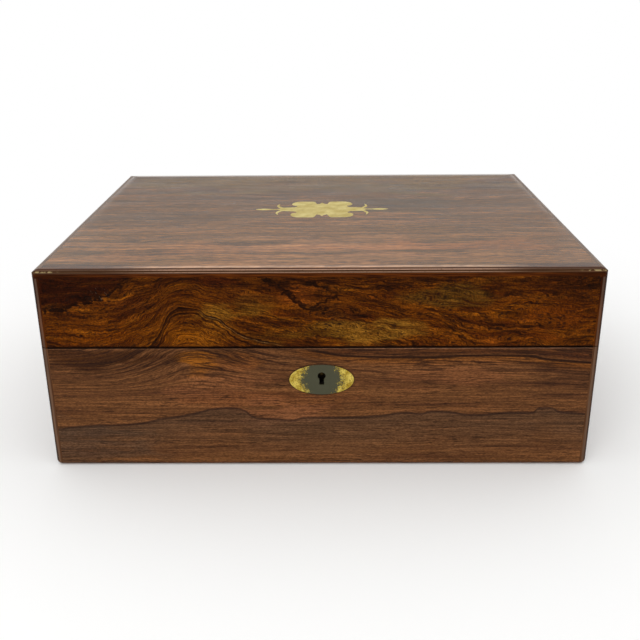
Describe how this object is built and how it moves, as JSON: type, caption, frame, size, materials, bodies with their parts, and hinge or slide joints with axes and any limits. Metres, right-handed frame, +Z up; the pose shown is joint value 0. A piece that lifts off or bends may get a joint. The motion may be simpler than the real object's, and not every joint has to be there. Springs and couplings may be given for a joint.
{
  "type": "wind-up music box",
  "caption": "Rosewood veneered box with hinged lid, brass cartouche and lock, holding a lever-wound cylinder movement with comb, spring barrel and air governor.",
  "frame": {"origin": "middle of the footprint, on the surface that the box stands on", "axes": "+X to the right along the front, +Y to the back where the hinges are, +Z up"},
  "size_m": [0.3, 0.241, 0.116],
  "materials": {
    "rosewood": "French polished",
    "top_rosewood": "French polished",
    "edging": "French polished",
    "mahogany": "satin",
    "pine": "matt",
    "inlay_brass": "matt, worn",
    "escutcheon_brass": "tarnished",
    "brass": "satin",
    "steel": "ground",
    "blued_steel": "blued",
    "iron": "lacquered",
    "wood_screw_steel": "plain",
    "ebonised_wood": "polished"
  },
  "bodies": {
    "case": {"case_front_board": "mahogany", "case_back_board": "mahogany", "case_end_boards": "mahogany", "case_floor": "pine", "case_front_veneer": "rosewood", "case_back_veneer": "rosewood", "case_end_veneers": "rosewood", "case_corner_edging": "edging", "escutcheon": "escutcheon_brass", "lock_plate": "brass", "lock_cap": "brass", "hinge_case_leaves": "brass", "hinge_pins": "steel", "case_screws": "wood_screw_steel", "left_partition": "mahogany", "right_partition": "mahogany", "bedplate": "iron", "movement_screws": "blued_steel", "barrel_bridge": "brass", "cylinder_left_bridge": "brass", "cylinder_right_bridge": "brass", "comb_base": "iron", "comb": "steel", "winding_plate": "brass", "click_spring": "steel", "governor_frame": "brass", "governor_cock": "brass", "stop_lever_post": "steel"},
    "lid": {"lid_top_board": "mahogany", "lid_front_board": "mahogany", "lid_back_board": "mahogany", "lid_end_boards": "mahogany", "lid_top_veneer": "top_rosewood", "lid_front_veneer": "rosewood", "lid_back_veneer": "rosewood", "lid_end_veneers": "rosewood", "lid_edging": "edging", "lid_inlay": "inlay_brass", "lock_link_plate": "brass", "hinge_lid_leaves": "brass", "lid_screws": "wood_screw_steel"},
    "lock_bolt": {"lock_bolt": "steel"},
    "cylinder": {"music_cylinder": "brass", "cylinder_caps": "brass", "cylinder_arbor": "steel", "great_wheel": "brass"},
    "barrel": {"spring_barrel": "brass", "barrel_cap": "brass", "mainspring": "blued_steel"},
    "winding_arbor": {"winding_arbor": "steel", "ratchet_wheel": "steel"},
    "winding_lever": {"winding_lever": "steel", "lever_handle": "ebonised_wood"},
    "lever_pawl": {"lever_pawl": "steel"},
    "click": {"click": "steel"},
    "governor_first_wheel": {"governor_first_wheel": "brass"},
    "governor_second_wheel": {"governor_second_wheel": "brass"},
    "fly": {"fly_arbor": "steel", "fly_vanes": "brass"},
    "stop_lever": {"stop_lever": "brass"}
  },
  "joints": [
    {"name": "lid_hinge", "type": "hinge", "parent": "case", "child": "lid", "pos_m": [0, 0.1195, 0.07225], "axis": [-1, 0, 0], "range_deg": [0, 100]},
    {"name": "lock_bolt_slide", "type": "slide", "parent": "case", "child": "lock_bolt", "axis": [1, 0, 0], "range_m": [0, 0.005]},
    {"name": "cylinder_spin", "type": "hinge", "parent": "case", "child": "cylinder", "pos_m": [0, 0.014, 0.0425], "axis": [1, 0, 0], "continuous": true},
    {"name": "barrel_spin", "type": "hinge", "parent": "case", "child": "barrel", "pos_m": [0, 0.04388, 0.04522], "axis": [1, 0, 0], "continuous": true},
    {"name": "governor_first_spin", "type": "hinge", "parent": "case", "child": "governor_first_wheel", "pos_m": [0, 0.0392, 0.0425], "axis": [1, 0, 0], "continuous": true},
    {"name": "governor_second_spin", "type": "hinge", "parent": "case", "child": "governor_second_wheel", "pos_m": [0, 0.0542, 0.0425], "axis": [1, 0, 0], "continuous": true},
    {"name": "fly_spin", "type": "hinge", "parent": "case", "child": "fly", "pos_m": [0.0924, 0.0652, 0.0425], "axis": [0, 0, 1], "continuous": true},
    {"name": "winding_arbor_spin", "type": "hinge", "parent": "case", "child": "winding_arbor", "pos_m": [0, 0.04388, 0.04522], "axis": [1, 0, 0], "continuous": true},
    {"name": "winding_lever_swing", "type": "hinge", "parent": "case", "child": "winding_lever", "pos_m": [0, 0.04388, 0.04522], "axis": [-1, 0, 0], "range_deg": [0, 90]},
    {"name": "lever_pawl_pivot", "type": "hinge", "parent": "winding_lever", "child": "lever_pawl", "pos_m": [0, 0.06403, 0.04557], "axis": [1, 0, 0], "range_deg": [0, 9]},
    {"name": "click_pivot", "type": "hinge", "parent": "case", "child": "click", "pos_m": [0, 0.05788, 0.05972], "axis": [1, 0, 0], "range_deg": [0, 9]},
    {"name": "stop_lever_swing", "type": "hinge", "parent": "case", "child": "stop_lever", "pos_m": [0.0994, 0.0822, 0.0275], "axis": [0, 0, -1], "range_deg": [0, 7.5]}
  ],
  "couplings": [
    {"joint": "barrel_spin", "follows": "cylinder_spin", "ratio": -0.25},
    {"joint": "governor_first_spin", "follows": "cylinder_spin", "ratio": -5},
    {"joint": "governor_second_spin", "follows": "cylinder_spin", "ratio": 20},
    {"joint": "fly_spin", "follows": "cylinder_spin", "ratio": -400}
  ]
}
